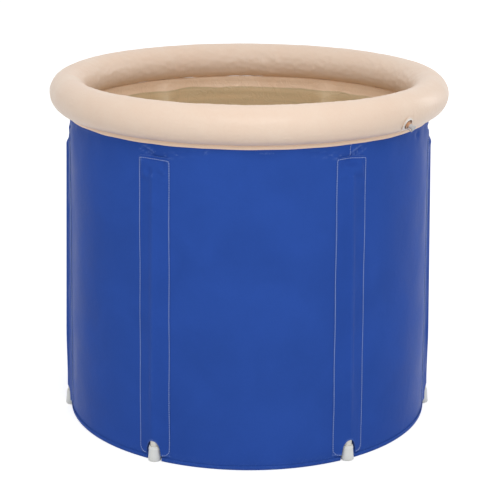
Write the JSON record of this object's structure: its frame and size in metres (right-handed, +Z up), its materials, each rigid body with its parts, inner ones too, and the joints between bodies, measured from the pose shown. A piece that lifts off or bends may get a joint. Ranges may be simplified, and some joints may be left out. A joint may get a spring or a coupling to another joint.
{
  "type": "folding soak tub",
  "caption": "Round free-standing soak tub of laminated sheet, held up by poles in sewn pockets, with an inflated rim, an air valve and a drain.",
  "frame": {"origin": "middle of the base, on the floor", "axes": "+Z up; -Y is the front, where the picture was taken from; +X is to the right in it. The drain is at the back, on +Y."},
  "size_m": [0.7514, 0.7514, 0.6608],
  "materials": {
    "blue_sheet": "coated sheet, satin",
    "blue_pocket": "coated sheet, satin, sewn",
    "foam": "closed-cell foam",
    "liner_film": "soft film, satin",
    "peach_film": "soft film, satin",
    "pole_plastic": "smooth",
    "white_plastic": "moulded, smooth",
    "clear_vinyl": "clear, soft",
    "black_rubber": "matte"
  },
  "bodies": {
    "tub": {"outer_skin": "blue_sheet", "insulation": "foam", "inner_liner": "liner_film", "base_sheet": "blue_sheet", "floor_pad": "foam", "floor_liner": "liner_film", "ring_tube": "peach_film", "ring_skirt": "peach_film", "pocket_front_left": "blue_pocket", "pocket_front_right": "blue_pocket", "pocket_side_left": "blue_pocket", "pocket_side_right": "blue_pocket", "pocket_rear_left": "blue_pocket", "pocket_rear_right": "blue_pocket", "valve_base": "clear_vinyl", "drain_body": "white_plastic", "drain_gasket": "black_rubber", "drain_nut": "white_plastic"},
    "front_left_pole": {"pole_front_left": "pole_plastic", "pole_plug_front_left": "white_plastic", "foot_cap_front_left": "white_plastic"},
    "front_right_pole": {"pole_front_right": "pole_plastic", "pole_plug_front_right": "white_plastic", "foot_cap_front_right": "white_plastic"},
    "side_left_pole": {"pole_side_left": "pole_plastic", "pole_plug_side_left": "white_plastic", "foot_cap_side_left": "white_plastic"},
    "side_right_pole": {"pole_side_right": "pole_plastic", "pole_plug_side_right": "white_plastic", "foot_cap_side_right": "white_plastic"},
    "rear_left_pole": {"pole_rear_left": "pole_plastic", "pole_plug_rear_left": "white_plastic", "foot_cap_rear_left": "white_plastic"},
    "rear_right_pole": {"pole_rear_right": "pole_plastic", "pole_plug_rear_right": "white_plastic", "foot_cap_rear_right": "white_plastic"},
    "stem": {"valve_stem": "clear_vinyl"},
    "stopper": {"valve_stopper": "clear_vinyl"},
    "flap": {"valve_flap": "black_rubber"},
    "cap_seal": {"drain_cap_seal": "black_rubber"},
    "cap": {"drain_cap": "white_plastic"},
    "inner_stopper": {"drain_stopper": "black_rubber"}
  },
  "joints": [
    {"name": "valve_stem_slide", "type": "slide", "parent": "tub", "child": "stem", "axis": [-0.6552, 0.6262, 0.4226], "range_m": [0, 0.009]},
    {"name": "valve_stopper_hinge", "type": "hinge", "parent": "stem", "child": "stopper", "pos_m": [0.27566, -0.26343, 0.59918], "axis": [0.6909, 0.723, 0], "range_deg": [0, 150]},
    {"name": "valve_flap_hinge", "type": "hinge", "parent": "stem", "child": "flap", "pos_m": [0.26068, -0.24911, 0.62098], "axis": [0.6909, 0.723, 0], "range_deg": [0, 60], "stiffness_Nm_per_rad": 0.00002},
    {"name": "drain_cap_travel", "type": "slide", "parent": "tub", "child": "cap_seal", "axis": [0, 0.9999, 0.0169], "range_m": [0, 0.0076]},
    {"name": "drain_cap_turn", "type": "hinge", "parent": "cap_seal", "child": "cap", "pos_m": [0, 0.34922, 0.046], "axis": [0, 0.9999, 0.0169], "range_deg": [0, 900]},
    {"name": "drain_stopper_pull", "type": "slide", "parent": "tub", "child": "inner_stopper", "axis": [0, -0.9999, -0.0169], "range_m": [0, 0.015]},
    {"name": "front_left_pole_slide", "type": "slide", "parent": "tub", "child": "front_left_pole", "axis": [-0.0171, -0.0297, -0.9994], "range_m": [0, 0.52]},
    {"name": "front_right_pole_slide", "type": "slide", "parent": "tub", "child": "front_right_pole", "axis": [0.0171, -0.0297, -0.9994], "range_m": [0, 0.52]},
    {"name": "side_left_pole_slide", "type": "slide", "parent": "tub", "child": "side_left_pole", "axis": [-0.0341, -0.003, -0.9994], "range_m": [0, 0.52]},
    {"name": "side_right_pole_slide", "type": "slide", "parent": "tub", "child": "side_right_pole", "axis": [0.0341, -0.003, -0.9994], "range_m": [0, 0.52]},
    {"name": "rear_left_pole_slide", "type": "slide", "parent": "tub", "child": "rear_left_pole", "axis": [-0.0171, 0.0297, -0.9994], "range_m": [0, 0.52]},
    {"name": "rear_right_pole_slide", "type": "slide", "parent": "tub", "child": "rear_right_pole", "axis": [0.0171, 0.0297, -0.9994], "range_m": [0, 0.52]}
  ],
  "couplings": [
    {"joint": "drain_cap_travel", "follows": "drain_cap_turn", "m_per_rad": 0.00047746}
  ]
}
